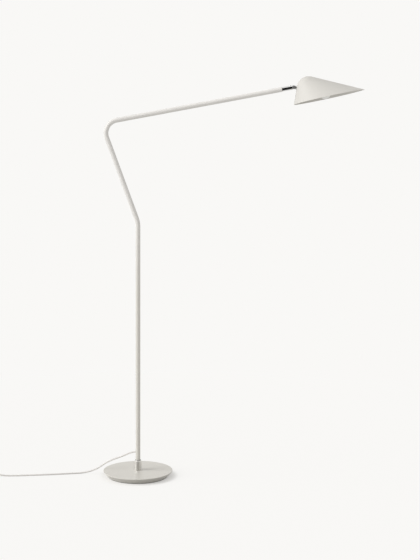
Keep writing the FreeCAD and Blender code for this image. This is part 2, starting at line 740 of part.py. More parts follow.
def holder_contact():
    return on_head(rod(CONTACT_D / 2, at(BULB_TIP - CONTACT_T + FIT), at(BULB_TIP - FIT)))


def head_lead():
    """Two-core lead from the nipple into the lampholder."""
    return on_head(rod(INNER_CABLE_D / 2, at(SEAT_FRONT), at(BULB_TIP - CONTACT_T - FIT)))


def bulb_outline(inset):
    """Half outline of the bulb's glass along its axis, moved in by inset."""
    radius = BULB_D / 2 - inset
    neck_r = BULB_CAP_D / 2 - BULB_NECK_INSET - inset
    reach = BULB_CENTRE - BULB_NECK
    far = math.hypot(reach, neck_r)
    touch = math.pi - math.atan2(neck_r, reach) - math.acos(radius / far)
    rim = vector(neck_r, 0, BULB_NECK)
    tangent = vector(radius * math.sin(touch), 0, BULB_CENTRE + radius * math.cos(touch))
    middle = vector(radius * math.sin(touch / 2), 0, BULB_CENTRE + radius * math.cos(touch / 2))
    end = vector(0, 0, BULB_CENTRE + radius)
    foot = vector(0, 0, BULB_NECK)
    return Part.Face(Part.Wire([
        Part.LineSegment(foot, rim).toShape(),
        Part.LineSegment(rim, tangent).toShape(),
        Part.Arc(tangent, middle, end).toShape(),
        Part.LineSegment(end, foot).toShape(),
    ]))


def bulb_globe():
    """Opal glass, a ball on a tapered neck."""
    solids = []
    for inset in (0, BULB_GLASS_T):
        solid = bulb_outline(inset).revolve(vector(0, 0, 0), UP, 360)
        solid.Placement = FreeCAD.Placement(at(0), FreeCAD.Rotation(UP, EAST))
        solids.append(solid)
    return on_head(solids[0].cut(solids[1]))


def bulb_cap():
    outer = BULB_CAP_D / 2
    return on_head(ring(outer, outer - SHELL_T, at(BULB_CAP_START), at(BULB_NECK - FIT)))


def bulb_tip():
    """Insulator and centre contact of the bulb."""
    return on_head(turned([
        (0, BULB_TIP),
        (BULB_TIP_D / 4, BULB_TIP),
        (BULB_TIP_D / 2, BULB_CAP_START - BULB_TIP_RIM),
        (BULB_CAP_D / 2, BULB_CAP_START - FIT),
        (BULB_CAP_D / 2 - SHELL_T - FIT, BULB_CAP_START - FIT),
        (BULB_CAP_D / 2 - SHELL_T - FIT, BULB_CAP_START + BULB_TIP_RIM),
        (0, BULB_CAP_START + BULB_TIP_RIM),
    ], along=EAST))


# ---------------------------------------------------------------- switch on the cord


def rounded_case(inset, low, high):
    """Upright block with rounded corners, about the switch's middle."""
    x = SWITCH_L / 2 - inset
    y = SWITCH_W / 2 - inset
    case = block((-x, -y, low), (x, y, high))
    upright = [e for e in case.Edges if abs(e.tangentAt(e.FirstParameter).z) > 0.9]
    return case.makeFillet(SWITCH_CORNER_R - inset, upright)


def edges_at_height(solid, height):
    found = []
    for edge in solid.Edges:
        if abs(edge.BoundBox.ZMin - height) < TINY and abs(edge.BoundBox.ZMax - height) < TINY:
            found.append(edge)
    return found


def screw_places():
    x = SWITCH_L / 2 - CASE_SCREW_FROM_END
    y = SWITCH_W / 2 - CASE_SCREW_FROM_SIDE
    return [(x, y), (-x, -y)]


def gland_hole(radius):
    return rod(radius, at(-SWITCH_L, 0, SWITCH_AXIS_Z), at(SWITCH_L, 0, SWITCH_AXIS_Z))


def switch_bottom():
    case = rounded_case(0, 0, SWITCH_AXIS_Z)
    case = case.makeFillet(SWITCH_EDGE_R, edges_at_height(case, 0))
    case = case.cut(rounded_case(SWITCH_WALL, SWITCH_WALL, SWITCH_H))
    boss = CASE_SCREW_HEAD_D / 2 + FIT + CASE_BOSS_WALL
    for x, y in screw_places():
        case = case.fuse(rod(boss, at(x, y, SWITCH_EDGE_R), at(x, y, SWITCH_AXIS_Z)))
    for x, y in screw_places():
        case = case.cut(rod(CASE_SCREW_D / 2 + FIT, at(x, y), at(x, y, SWITCH_H)))
        case = case.cut(rod(CASE_SCREW_HEAD_D / 2 + FIT, at(x, y), at(x, y, SWITCH_WALL + FIT)))
    case = case.cut(gland_hole(GLAND_D / 2 + FIT))
    case.translate(SWITCH_MIDDLE)
    return case


def rocker_window():
    return (ROCKER_L / 2 + APART, ROCKER_W / 2 + APART)


def switch_top():
    start = SWITCH_AXIS_Z + FIT
    case = rounded_case(0, start, SWITCH_H)
    case = case.makeFillet(SWITCH_EDGE_R, edges_at_height(case, SWITCH_H))
    case = case.cut(rounded_case(SWITCH_WALL, 0, SWITCH_H - SWITCH_WALL))
    boss = CASE_SCREW_D / 2 + 2 * CASE_BOSS_WALL
    for x, y in screw_places():
        case = case.fuse(rod(boss, at(x, y, start), at(x, y, SWITCH_H - SWITCH_WALL)))
        case = case.cut(rod(CASE_SCREW_D / 2 + FIT, at(x, y), at(x, y, SWITCH_H - 2 * SWITCH_WALL)))
    half_x, half_y = rocker_window()
    case = case.cut(block((-half_x, -half_y, 0), (half_x, half_y, 2 * SWITCH_H)))
    pin_z = SWITCH_H - ROCKER_PIVOT_DOWN
    for side in (-1, 1):
        middle = side * (half_y + LUG_T / 2)
        low = (-LUG_T, middle - LUG_T / 2, pin_z - LUG_T)
        high = (LUG_T, middle + LUG_T / 2, SWITCH_H - SWITCH_WALL)
        case = case.fuse(block(low, high))
    reach = half_y + LUG_T
    case = case.cut(rod(ROCKER_PIN_D / 2 + FIT, at(0, -reach, pin_z), at(0, reach, pin_z)))
    case = case.cut(gland_hole(GLAND_D / 2 + FIT))
    case.translate(SWITCH_MIDDLE)
    return case


def switch_rocker():
    """Rocker with round ends about its pin, a dished top, and one end pressed at rest."""
    radius = ROCKER_L / 2
    high = ROCKER_PIVOT_DOWN + ROCKER_PROUD
    low = -ROCKER_PIN_D
    outline = [
        vector(-radius, -ROCKER_W / 2, low),
        vector(-radius, -ROCKER_W / 2, high),
        vector(0, -ROCKER_W / 2, high - ROCKER_DISH),
        vector(radius, -ROCKER_W / 2, high),
        vector(radius, -ROCKER_W / 2, low),
    ]
    body = Part.Face(Part.makePolygon(outline + outline[:1])).extrude(NORTH * ROCKER_W)
    body = body.common(rod(radius, at(0, -ROCKER_W), at(0, ROCKER_W)))
    reach = ROCKER_W / 2 + ROCKER_PIN_L
    body = body.fuse(rod(ROCKER_PIN_D / 2, at(0, -reach), at(0, reach))).removeSplitter()
    body.rotate(vector(0, 0, 0), NORTH, -ROCKER_TILT)
    body.translate(ROCKER_PIVOT)
    return body


def switch_terminals():
    """Two brass terminals on the floor of the housing."""
    terminals = []
    for side in (-1, 1):
        x = side * TERMINAL_APART
        floor = SWITCH_WALL + FIT
        low = (x - TERMINAL_L / 2, -TERMINAL_W / 2, floor)
        high = (x + TERMINAL_L / 2, TERMINAL_W / 2, floor + TERMINAL_H)
        bore_z = floor + TERMINAL_H / 2
        bore = rod(TERMINAL_BORE / 2, at(x - TERMINAL_L, 0, bore_z), at(x + TERMINAL_L, 0, bore_z))
        body = block(low, high).cut(bore)
        body.translate(SWITCH_MIDDLE)
        terminals.append(body)
    return terminals


def switch_screws():
    screws = []
    for x, y in screw_places():
        seat = SWITCH_WALL
        head = rod(CASE_SCREW_HEAD_D / 2, at(x, y, seat - CASE_SCREW_HEAD_T), at(x, y, seat))
        shank = rod(CASE_SCREW_D / 2, at(x, y, seat), at(x, y, SWITCH_H - 2 * SWITCH_WALL - APART))
        key = hexagon(CASE_SCREW_KEY, at(x, y, 0), seat - CASE_SCREW_HEAD_T / 2, UP)
        screw = head.fuse(shank).cut(key)
        screw.translate(SWITCH_MIDDLE)
        screws.append(screw)
    return screws


def switch_glands():
    """Tapered strain reliefs at both ends of the switch."""
    tip = CORD_D / 2 + GLAND_TIP_WALL
    glands = []
    for side in (-1, 1):
        face = SWITCH_L / 2
        gland = turned([
            (0, face - 2 * SWITCH_WALL),
            (GLAND_D / 2, face - 2 * SWITCH_WALL),
            (GLAND_D / 2, face + SWITCH_WALL),
            (tip, face + GLAND_L),
            (0, face + GLAND_L),
        ], along=EAST * side)
        gland.translate(SWITCH_MIDDLE + UP * SWITCH_AXIS_Z)
        glands.append(gland)
    return glands


# ---------------------------------------------------------------- cord


def cord_run():
    points = [vector(*p) for p in CORD_ROUTE]
    return piped(bent_line(points, cord_radii("cord_run", points)), CORD_D / 2)


def cord_link():
    """From the switch down to the coil."""
    points = [SWITCH_END]
    for run, height in zip(LINK_RUNS, (SWITCH_AXIS_Z, CORD_FLOOR_Z, CORD_FLOOR_Z)):
        points.append(vector(points[-1].x - run, points[-1].y, height))
    return piped(bent_line(points, cord_radii("cord_link", points)), CORD_D / 2)


def coil_point(turns):
    """Place on the coil's line after some turns: in along the floor, then out on top of itself."""
    climb = min(max((turns - COIL_TURNS) / COIL_CLIMB, 0), 1)
    radius = COIL_OUTER_R - COIL_PITCH * (COIL_REVERSE - abs(turns - COIL_REVERSE))
    rise = COIL_PITCH * climb * climb * (3 - 2 * climb)
    angle = -math.pi / 2 - 2 * math.pi * turns
    return COIL_CENTRE + vector(radius * math.cos(angle), radius * math.sin(angle), rise)


def coil_heading(turns):
    return (coil_point(turns + TINY) - coil_point(turns - TINY)).normalize()


def biarc(start, start_heading, end, end_heading):
    """Two tangent arcs between two points with given headings."""
    span = end - start
    both = start_heading + end_heading
    share = 2 * (1 - start_heading.dot(end_heading))
    along = span.dot(both)
    reach = (math.sqrt(along ** 2 + share * span.dot(span)) - along) / share
    joint = (start + end + (start_heading - end_heading) * reach) * 0.5
    first, first_radius = arc_from(start, start_heading, joint)
    back, second_radius = arc_from(end, end_heading * -1, joint)
    middle = back.valueAt((back.FirstParameter + back.LastParameter) / 2)
    return [first, Part.Arc(joint, middle, end).toShape()], min(first_radius, second_radius)


def cord_coil():
    """The stored length: one unbroken tube in two layers of neat turns."""
    quarters = int(COIL_ALL_TURNS * 4)
    west = EAST * -1
    headings = [west] + [coil_heading(k / 4) for k in range(1, quarters)] + [EAST]
    places = [coil_point(k / 4) for k in range(quarters + 1)]
    edges = [Part.LineSegment(places[0] - west * CORD_D, places[0]).toShape()]
    tightest = COIL_OUTER_R
    for k in range(quarters):
        pair, radius = biarc(places[k], headings[k], places[k + 1], headings[k + 1])
        edges += pair
        tightest = min(tightest, radius)
    edges.append(Part.LineSegment(places[-1], places[-1] + EAST * COIL_TAIL).toShape())
    print("cord_coil tightest bend", round(tightest, 1), "least gap", round(least_gap(Part.Wire(edges)), 2))
    return piped(edges, CORD_D / 2)


def least_gap(path):
    """Smallest distance between the surfaces of stretches of the line that aren't neighbours."""
    count = 900
    points = path.discretize(Number=count)
    step = path.Length / (count - 1)
    skip = int(3 * CORD_D / step)
    least = path.Length
    for i in range(count):
        for j in range(i + skip, count):
            if (points[j] - points[i]).Length < least:
                least = (points[j] - points[i]).Length
    return least - CORD_D


def coil_tie():
    """Twist tie round the turns on the coil's far side."""
    inner_x = COIL_CENTRE.x - COIL_OUTER_R - CORD_D / 2 - APART
    outer_x = COIL_CENTRE.x - COIL_INNER_R + CORD_D / 2 + APART
    low = CORD_FLOOR_Z - CORD_D / 2
    high = COIL_TOP_Z + CORD_D / 2 + APART
    y = COIL_CENTRE.y
    corner = (outer_x + TIE_T, y + TIE_W / 2, high + TIE_T)
    band = block((inner_x - TIE_T, y - TIE_W / 2, low + TIE_T), corner)
    return band.cut(block((inner_x, y - TIE_W, low - TIE_T), (outer_x, y + TIE_W, high)))


# ---------------------------------------------------------------- plug


def plug_relief():
    tip = CORD_D / 2 + RELIEF_TIP_WALL
    return turned([(0, 0), (tip, 0), (RELIEF_D / 2, RELIEF_L), (0, RELIEF_L)], PLUG_START, EAST)


def plug_body():
    """Flat moulded body with sloping shoulders."""
    x0 = RELIEF_L
    x1 = x0 + PLUG_SHOULDER
    x2 = x0 + PLUG_L
    narrow = RELIEF_D / 2 + PLUG_EDGE_R
    wide = PLUG_W / 2
    outline = [(x0, -narrow), (x1, -wide), (x2, -wide), (x2, wide), (x1, wide), (x0, narrow)]
    corners = [vector(x, y, -PLUG_T / 2) for x, y in outline]
    body = Part.Face(Part.makePolygon(corners + corners[:1])).extrude(UP * PLUG_T)
    body = body.makeFillet(PLUG_EDGE_R, body.Edges)
    body.translate(PLUG_START)
    return body


def plug_pins():
    pins = []
    for side in (-1, 1):
        y = side * PIN_APART / 2
        pin = rod(PIN_D / 2, at(RELIEF_L + PLUG_L, y), at(RELIEF_L + PLUG_L + PIN_L, y))
        tip = [e for e in circles_at(pin, PIN_D / 2) if e.CenterOfMass.x > RELIEF_L + PLUG_L + PIN_L / 2]
        pin = pin.makeFillet(PIN_ROUND, tip)
        pin.translate(PLUG_START)
        pins.append(pin)
    return pins


# ---------------------------------------------------------------- all pieces


def build():
    os.makedirs("parts", exist_ok=True)
    single = [
        base_plate, base_pad, base_collar, collar_seal, collar_grub_screw, foot_spigot, foot_washer,
        foot_nut, stem_tube, cord_bush, stem_cable, arm_journal, swivel_sleeve, lock_screw, pivot_screw,
        pivot_nut, shade, head_knuckle, seat_washer, nipple_nut, holder_cap, holder_body,
        holder_insert, holder_shell, holder_contact, head_lead, bulb_globe, bulb_cap, bulb_tip,
        switch_bottom, switch_top, switch_rocker, cord_run, cord_link, cord_coil, coil_tie,
        plug_relief, plug_body,
    ]
    grouped = [friction_washers, switch_terminals, switch_screws, switch_glands, plug_pins]
    for piece in single:
        save(piece.__name__, piece())
    for pieces in grouped:
        save(pieces.__name__, *pieces())


build()
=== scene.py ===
"""Floor lamp: finishes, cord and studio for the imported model. Metres, +Z up, arm towards +X."""

import math

import bpy
from mathutils import Euler, Matrix, Vector


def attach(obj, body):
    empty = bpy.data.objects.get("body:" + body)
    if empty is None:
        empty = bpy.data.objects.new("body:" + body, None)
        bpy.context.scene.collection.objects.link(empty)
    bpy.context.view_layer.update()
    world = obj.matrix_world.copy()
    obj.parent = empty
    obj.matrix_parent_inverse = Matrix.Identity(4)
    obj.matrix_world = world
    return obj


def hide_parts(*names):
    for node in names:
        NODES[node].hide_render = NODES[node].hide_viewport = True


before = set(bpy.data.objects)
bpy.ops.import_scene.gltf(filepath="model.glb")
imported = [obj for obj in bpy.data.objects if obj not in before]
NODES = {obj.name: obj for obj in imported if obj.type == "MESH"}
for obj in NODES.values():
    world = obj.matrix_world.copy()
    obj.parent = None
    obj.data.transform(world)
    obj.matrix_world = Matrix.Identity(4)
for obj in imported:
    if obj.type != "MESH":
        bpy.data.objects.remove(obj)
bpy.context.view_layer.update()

MM = 0.001

# ---------------------------------------------------------------- sizes shared with the model

CORD_D = 5.2 * MM
CORD_R = CORD_D / 2
FLOOR_Z = 2.6              # height of the cord's middle where it lies on the floor
SWITCH_AXIS_Z = 8.0
CORD_LINE = -25.0          # how far the switch and the coil's start lie from the lamp's plane
CORD_ROUTE = [
    (-7.0, 0.0, 84.0),
    (-22.0, 0.0, 84.0),
    (-54.0, 0.5, 68.5),
    (-90.0, 3.0, 55.5),
    (-117.0, 7.0, 40.5),
    (-141.0, 13.0, 21.5),
    (-167.0, 18.5, 9.5),
    (-198.0, 18.0, FLOOR_Z),
    (-240.0, 10.0, FLOOR_Z),
    (-292.0, -1.0, FLOOR_Z),
    (-350.0, -10.5, FLOOR_Z),
    (-408.0, -19.0, FLOOR_Z),
    (-456.0, -24.5, FLOOR_Z),
    (-488.0, CORD_LINE, SWITCH_AXIS_Z),
    (-508.0, CORD_LINE, SWITCH_AXIS_Z),
]
LINK_ROUTE = [
    (-608.0, CORD_LINE, SWITCH_AXIS_Z),
    (-618.0, CORD_LINE, SWITCH_AXIS_Z),
    (-635.0, CORD_LINE, FLOOR_Z),
    (-645.0, CORD_LINE, FLOOR_Z),
]
COIL_TURNS = 3
COIL_PITCH = 5.8
COIL_MIDDLE_D = 62.0
COIL_START_X = -650.2
COIL_TAIL = 16.0
POINTS_PER_TURN = 16
LAYER_TURNS = COIL_TURNS + 0.25    # where the turns change from going in to coming out
ALL_TURNS = 2 * COIL_TURNS + 0.5
CLIMB_TURNS = 0.5                  # the share of a turn in which the cord climbs a layer

CAMERA_PLACE = Vector((0.2468, -3.7364, 1.0584))
CAMERA_LENS = 70.45
CAMERA_SENSOR = 36.0
CAMERA_REACH = 200.0
PITCH_DOWN = math.radians(5.68)
ROLL = math.radians(0.37)

# ---------------------------------------------------------------- camera and cords


def place_camera():
    """Camera at the photograph's viewing angle: a little above the shade's height, looking down."""
    camera = bpy.data.objects.new("camera", bpy.data.cameras.new("camera"))
    camera.data.sensor_width = CAMERA_SENSOR
    camera.data.lens = CAMERA_LENS
    camera.data.clip_end = CAMERA_REACH
    aim = Euler((math.pi / 2 - PITCH_DOWN, 0, 0)).to_matrix().to_4x4()
    camera.matrix_world = Matrix.Translation(CAMERA_PLACE) @ aim @ Matrix.Rotation(ROLL, 4, "Z")
    bpy.context.collection.objects.link(camera)
    bpy.context.scene.camera = camera


def cord_curve(name, route):
    """Round cord on one smooth spline whose control points are the route."""
    data = bpy.data.curves.new(name, "CURVE")
    data.dimensions = "3D"
    data.resolution_u = 10
    data.bevel_depth = 1.0      # times each point's radius, so that the curve's box fits its skin
    data.bevel_resolution = 7
    data.use_fill_caps = True
    spline = data.splines.new("NURBS")
    spline.points.add(len(route) - 1)
    for point, place in zip(spline.points, route):
        point.co = (*(Vector(place) * MM), 1.0)
        point.radius = CORD_R
    spline.order_u = 3
    spline.use_endpoint_u = True
    piece = bpy.data.objects.new(name, data)
    bpy.context.collection.objects.link(piece)
    return piece


def coil_route():
    """The stored turns: in along the floor, then out again one layer up."""
    outer = (COIL_MIDDLE_D + COIL_TURNS * COIL_PITCH) / 2
    centre_y = CORD_LINE + outer
    swell = 1 / math.cos(math.pi / POINTS_PER_TURN)
    count = round(ALL_TURNS * POINTS_PER_TURN)
    route = []
    for k in range(1, count):
        turned = ALL_TURNS * k / count
        climb = min(max((turned - COIL_TURNS) / CLIMB_TURNS, 0), 1)
        radius = (outer - COIL_PITCH * (LAYER_TURNS - abs(turned - LAYER_TURNS))) * swell
        angle = -math.pi / 2 - 2 * math.pi * turned
        height = CORD_R / MM + COIL_PITCH * climb * climb * (3 - 2 * climb)
        across, along = radius * math.cos(angle), radius * math.sin(angle)
        route.append((COIL_START_X + across, centre_y + along, height))
    top = CORD_R / MM + COIL_PITCH
    tail_y = centre_y + outer
    route.append((COIL_START_X, tail_y, top))
    route.append((COIL_START_X + COIL_TAIL / 2, tail_y, top))
    route.append((COIL_START_X + COIL_TAIL, tail_y, top))
    return route


def cords():
    """The lead to the switch and the stored lead to the plug, in place of the model's plain tubes."""
    to_switch = cord_curve("cord_to_switch", CORD_ROUTE)
    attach(to_switch, "stand")
    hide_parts("cord_run")
    to_plug = cord_curve("cord_to_plug", LINK_ROUTE + coil_route())
    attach(to_plug, "stand")
    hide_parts("cord_link", "cord_coil")
    return [to_switch, to_plug]


# ---------------------------------------------------------------- shader building


class Number:
    """A number that varies over a surface. Arithmetic on it adds Math nodes."""

    def __init__(self, finish, socket):
        self.finish = finish
        self.socket = socket

    def _maths(self, operation, first, second):
        made = self.finish.node("ShaderNodeMath", {"operation": operation}, {0: first, 1: second})
        return Number(self.finish, made.outputs[0])

    def __add__(self, other):
        return self._maths("ADD", self, other)

    def __radd__(self, other):
        return self._maths("ADD", other, self)

    def __sub__(self, other):
        return self._maths("SUBTRACT", self, other)

    def __rsub__(self, other):
        return self._maths("SUBTRACT", other, self)

    def __mul__(self, other):
        return self._maths("MULTIPLY", self, other)

    def __rmul__(self, other):
        return self._maths("MULTIPLY", other, self)

    def at_least(self, other):
        return self._maths("MAXIMUM", self, other)


class Shader:
    """The node tree of a material or of the world."""

    def __init__(self, owner):
        owner.use_nodes = True
        self.tree = owner.node_tree
        self.tree.nodes.clear()

    def node(self, kind, settings=None, sockets=None):
        """Adds a node: its settings first, then the values or links of its sockets."""
        made = self.tree.nodes.new(kind)
        for name, value in (settings or {}).items():
            if name == "stops":
                ramp = made.color_ramp
                while len(ramp.elements) < len(value):
                    ramp.elements.new(1.0)
                for element, (position, shade) in zip(ramp.elements, value):
                    element.position = position
                    element.color = (shade, shade, shade, 1.0)
            else:
                setattr(made, name, value)
        for name, value in (sockets or {}).items():
            socket = made.inputs[name]
            source = value.socket if isinstance(value, Number) else value
            if isinstance(source, bpy.types.NodeSocket):
                self.tree.links.new(source, socket)
            else:
                socket.default_value = source
        return made

    def mix(self, share, first, second):
        """Mixes two shader nodes: the first where the share is 0, the second where it is 1."""
        return self.node("ShaderNodeMixShader", {}, {0: share, 1: first.outputs[0], 2: second.outputs[0]})

    def pale_rays(self):
        """1 for what the camera, polished metal and glass see, 0 for the light that falls on things."""
        path = self.node("ShaderNodeLightPath")
        seen, mirrored, through = (Number(self, path.outputs[ray]) for ray in (
            "Is Camera Ray", "Is Glossy Ray", "Is Transmission Ray"))
        return seen.at_least(mirrored).at_least(through)


class Finish(Shader):
    """One procedural material, built on a Principled surface."""

    def __init__(self, name, colour, **fixed):
        self.material = bpy.data.materials.new(name)
        super().__init__(self.material)
        self.material.diffuse_color = (*colour, 1.0)
        self.surface = self.node("ShaderNodeBsdfPrincipled", {}, {"Base Color": (*colour, 1.0), **fixed})
        self.output = self.node("ShaderNodeOutputMaterial", {}, {"Surface": self.surface.outputs[0]})
        self.place = self.node("ShaderNodeTexCoord").outputs["Object"]

    def stretched(self, stretch):
        return self.node("ShaderNodeVectorMath", {"operation": "MULTIPLY"},
                         {0: self.place, 1: stretch}).outputs[0]

    def noise(self, scale=1.0, detail=2.0, rough=0.5, stretch=None):
        """Cloudy noise from 0 to 1. Scale, or stretch for each axis, is in features per metre."""
        place = self.stretched(stretch) if stretch else self.place
        made = self.node("ShaderNodeTexNoise", {}, {"Vector": place, "Scale": scale, "Detail": detail,
                                                   "Roughness": rough})
        return Number(self, made.outputs[0])

    def cells(self, scale):
        """Distance to the nearest of scattered points."""
        made = self.node("ShaderNodeTexVoronoi", {}, {"Vector": self.place, "Scale": scale})
        return Number(self, made.outputs["Distance"])

    def ramp(self, number, *stops):
        """Straight lines between stops, each a place from 0 to 1 and its value."""
        made = self.node("ShaderNodeValToRGB", {"stops": stops}, {"Fac": number})
        return Number(self, made.outputs[0])

    def axis(self, letter):
        made = self.node("ShaderNodeSeparateXYZ", {}, {0: self.place})
        return Number(self, made.outputs[letter])

    def tint(self, mask, colour, amount=None):
        """Moves the colour towards another one where the mask is 1, by the amount."""
        if amount:
            mask = mask * amount
        base = self.surface.inputs["Base Color"]
        before = base.links[0].from_socket if base.links else tuple(base.default_value)
        made = self.node("ShaderNodeMix", {"data_type": "RGBA"}, {0: mask, 6: before, 7: (*colour, 1.0)})
        self.tree.links.new(made.outputs[2], base)

    def roughness(self, number):
        self.tree.links.new(number.socket, self.surface.inputs["Roughness"])

    def relief(self, height, depth):
        """Bump of a real depth in metres, added to any bump that is there already."""
        sockets = {"Height": height, "Distance": depth, "Strength": 1.0}
        normal = self.surface.inputs["Normal"]
        if normal.links:
            sockets["Normal"] = normal.links[0].from_socket
        made = self.node("ShaderNodeBump", {}, sockets)
        self.tree.links.new(made.outputs[0], normal)


def shade_of(colour, factor):
    """The same colour, darker or paler by the factor."""
    return tuple(min(c * factor, 1.0) for c in colour)


# ---------------------------------------------------------------- finishes

# The painted pieces most likely share one powder coat. Each of these four tones is set so that its
# piece reads as in the photograph under the lights of this scene.
PAINT = (0.672, 0.651, 0.604)
# painted light: a paler copy of the same coat for the upper stem
UPPER_PAINTED_LIGHT = (0.775, 0.758, 0.735)
# painted shade: a darker copy of the same coat for the base
BASE_PAINTED_SHADE = (0.640, 0.620, 0.572)
# painted shade: a darker copy of the same coat for the lampshade
LAMPSHADE_PAINTED_SHADE = (0.613, 0.597, 0.562)
CORD_GREY = (0.725, 0.702, 0.677)
SWITCH_GREY = (0.69, 0.67, 0.64)
TIE_GREY = (0.66, 0.65, 0.62)
CABLE_WHITE = (0.76, 0.75, 0.72)
HOLDER_WHITE = (0.76, 0.75, 0.71)
WASHER_BLACK = (0.03, 0.03, 0.03)
# partly painted shade: the seal's near-black tone also stands for the shade in the gap at the collar's
# top
SEAL_GREY_AND_GAP_SHADE = (0.11, 0.11, 0.105)
TURNED_STEEL = (0.71, 0.698, 0.668)
CHROME = (0.73, 0.73, 0.725)
ZINC = (0.52, 0.52, 0.50)
BRASS = (0.70, 0.52, 0.22)
ALUMINIUM = (0.72, 0.72, 0.71)
FOAM_GREY = (0.27, 0.265, 0.255)
# painted shade: darker tone for the insides of the open cells
FOAM_PORE_PAINTED_SHADE = (0.16, 0.157, 0.15)
FOAM_LINT = (0.42, 0.41, 0.40)
OPAL_WHITE = (0.93, 0.925, 0.90)
OPAL_HAZE = (0.86, 0.86, 0.83)
CERAMIC_WHITE = (0.80, 0.79, 0.75)
CERAMIC_SPECK = (0.55, 0.52, 0.47)
PAINTED_LIGHT_START, PAINTED_LIGHT_FULL = 0.64, 0.98     # heights in metres between which painted light makes the stem's paint paler


def powder_coat(name, colour, rough=0.46, gloss=0.35, painted_light_top=None):
    """Smooth matt powder coat: fine orange peel, faint clouding, a few paler rubbed specks, and painted
    light that makes it paler high up where asked.
    """
    coat = Finish(name, colour, **{"Specular IOR Level": gloss})
    peel = coat.noise(scale=900.0, detail=3.0, rough=0.55)
    grain = coat.noise(scale=4200.0)
    cloud = coat.noise(scale=9.0, detail=3.0)
    if painted_light_top:       # painted light: paler high up, as in the photograph; these lights alone leave it darker there
        half_height = coat.axis("Z") * 0.5
        coat.tint(coat.ramp(half_height, (PAINTED_LIGHT_START / 2, 0.0), (PAINTED_LIGHT_FULL / 2, 1.0)), painted_light_top)
    specks = coat.ramp(coat.cells(scale=160.0), (0.0, 1.0), (0.035, 0.0))
    coat.tint(cloud, shade_of(colour, 0.94), amount=0.2)
    coat.tint(specks, shade_of(colour, 1.12), amount=0.25)
    coat.roughness(rough + peel * 0.10 + cloud * 0.05)
    coat.relief(peel, depth=0.06 * MM)
    coat.relief(grain, depth=0.012 * MM)
    return coat.material


def satin_steel():
    """Lathe-turned steel: fine rings round the upright axis."""
    steel = Finish("satin_steel", TURNED_STEEL, Metallic=1.0)
    rings = steel.noise(rough=0.6, stretch=(60.0, 60.0, 5200.0))
    streaks = steel.noise(detail=3.0, stretch=(160.0, 160.0, 900.0))
    smudge = steel.noise(scale=70.0)
    steel.tint(streaks, shade_of(TURNED_STEEL, 1.25), amount=0.5)
    steel.roughness(0.36 + rings * 0.14 + smudge * 0.06)
    steel.relief(rings, depth=0.03 * MM)
    return steel.material


def chrome(name, rough):
    """Bright plate with faint wipe marks."""
    plate = Finish(name, CHROME, Metallic=1.0)
    wipe = plate.noise(detail=3.0, rough=0.6, stretch=(120.0, 600.0, 600.0))
    ripple = plate.noise(scale=180.0)
    plate.tint(wipe, shade_of(CHROME, 0.92), amount=0.3)
    plate.roughness(rough + wipe * 0.06)
    plate.relief(ripple, depth=0.015 * MM)
    return plate.material


def plated(name, colour, rough):
    """Plated or pressed small metal parts, dulled in patches and finely scratched."""
    metal = Finish(name, colour, Metallic=1.0)
    patches = metal.noise(scale=240.0, detail=3.0, rough=0.6)
    scratches = metal.noise(rough=0.6, stretch=(300.0, 2600.0, 2600.0))
    metal.tint(patches, shade_of(colour, 0.80), amount=0.5)
    metal.roughness(rough + patches * 0.15)
    metal.relief(scratches, depth=0.02 * MM)
    return metal.material


def soft_plastic(name, colour, rough):
    """Flexible plastic of the cord, reliefs and plug: matt, with a fine skin and faint handling marks."""
    skin = Finish(name, colour, **{"Specular IOR Level": 0.4})
    grain = skin.noise(scale=2600.0)
    marks = skin.noise(scale=38.0, detail=4.0, rough=0.6)
    skin.tint(skin.ramp(marks, (0.45, 0.0), (0.75, 1.0)), shade_of(colour, 0.86), amount=0.35)
    skin.roughness(rough + marks * 0.14)
    skin.relief(grain, depth=0.03 * MM)
    return skin.material


def hard_plastic(name, colour, rough):
    """Moulded hard plastic with a fine spark-eroded texture."""
    shell = Finish(name, colour, **{"Specular IOR Level": 0.5})
    texture = shell.cells(scale=2400.0)
    cloud = shell.noise(scale=60.0, detail=3.0)
    shell.tint(cloud, shade_of(colour, 0.93), amount=0.5)
    shell.roughness(rough + cloud * 0.12)
    shell.relief(texture, depth=0.04 * MM)
    return shell.material


def foam_rubber():
    """Dense grey foam with open cells and a little lint."""
    foam = Finish("pad_foam", FOAM_GREY)
    pores = foam.cells(scale=900.0)
    fibres = foam.noise(detail=4.0, rough=0.7, stretch=(900.0, 200.0, 200.0))
    foam.tint(foam.ramp(fibres, (0.66, 0.0), (0.74, 1.0)), FOAM_LINT, amount=0.4)
    # painted shade darkens the open cells
    foam.tint(foam.ramp(pores, (0.0, 1.0), (0.5, 0.0)), FOAM_PORE_PAINTED_SHADE, amount=0.6)
    foam.roughness(0.80 + pores * 0.15)
    foam.relief(pores, depth=0.4 * MM)
    return foam.material


def opal_glass():
    """Frosted white lamp glass with a faint haze."""
    glass = Finish("opal_glass", OPAL_WHITE, **{
        "Subsurface Weight": 0.25, "Subsurface Scale": 3.0 * MM, "Subsurface Radius": (1.0, 1.0, 1.0),
        "Coat Weight": 0.2, "Coat Roughness": 0.25})
    frost = glass.noise(scale=5200.0)
    haze = glass.noise(scale=45.0, detail=3.0)
    glass.tint(haze, OPAL_HAZE, amount=0.4)
    glass.roughness(0.28 + frost * 0.12)
    glass.relief(frost, depth=0.02 * MM)
    return glass.material


def white_ceramic():
    """Smooth white ceramic with fine darker specks."""
    body = Finish("insulator", CERAMIC_WHITE)
    specks = body.ramp(body.cells(scale=700.0), (0.0, 1.0), (0.08, 0.0))
    body.tint(specks, CERAMIC_SPECK, amount=0.5)
    body.roughness(0.30 + body.noise(scale=300.0) * 0.2)
    body.relief(body.noise(scale=900.0), depth=0.05 * MM)
    return body.material


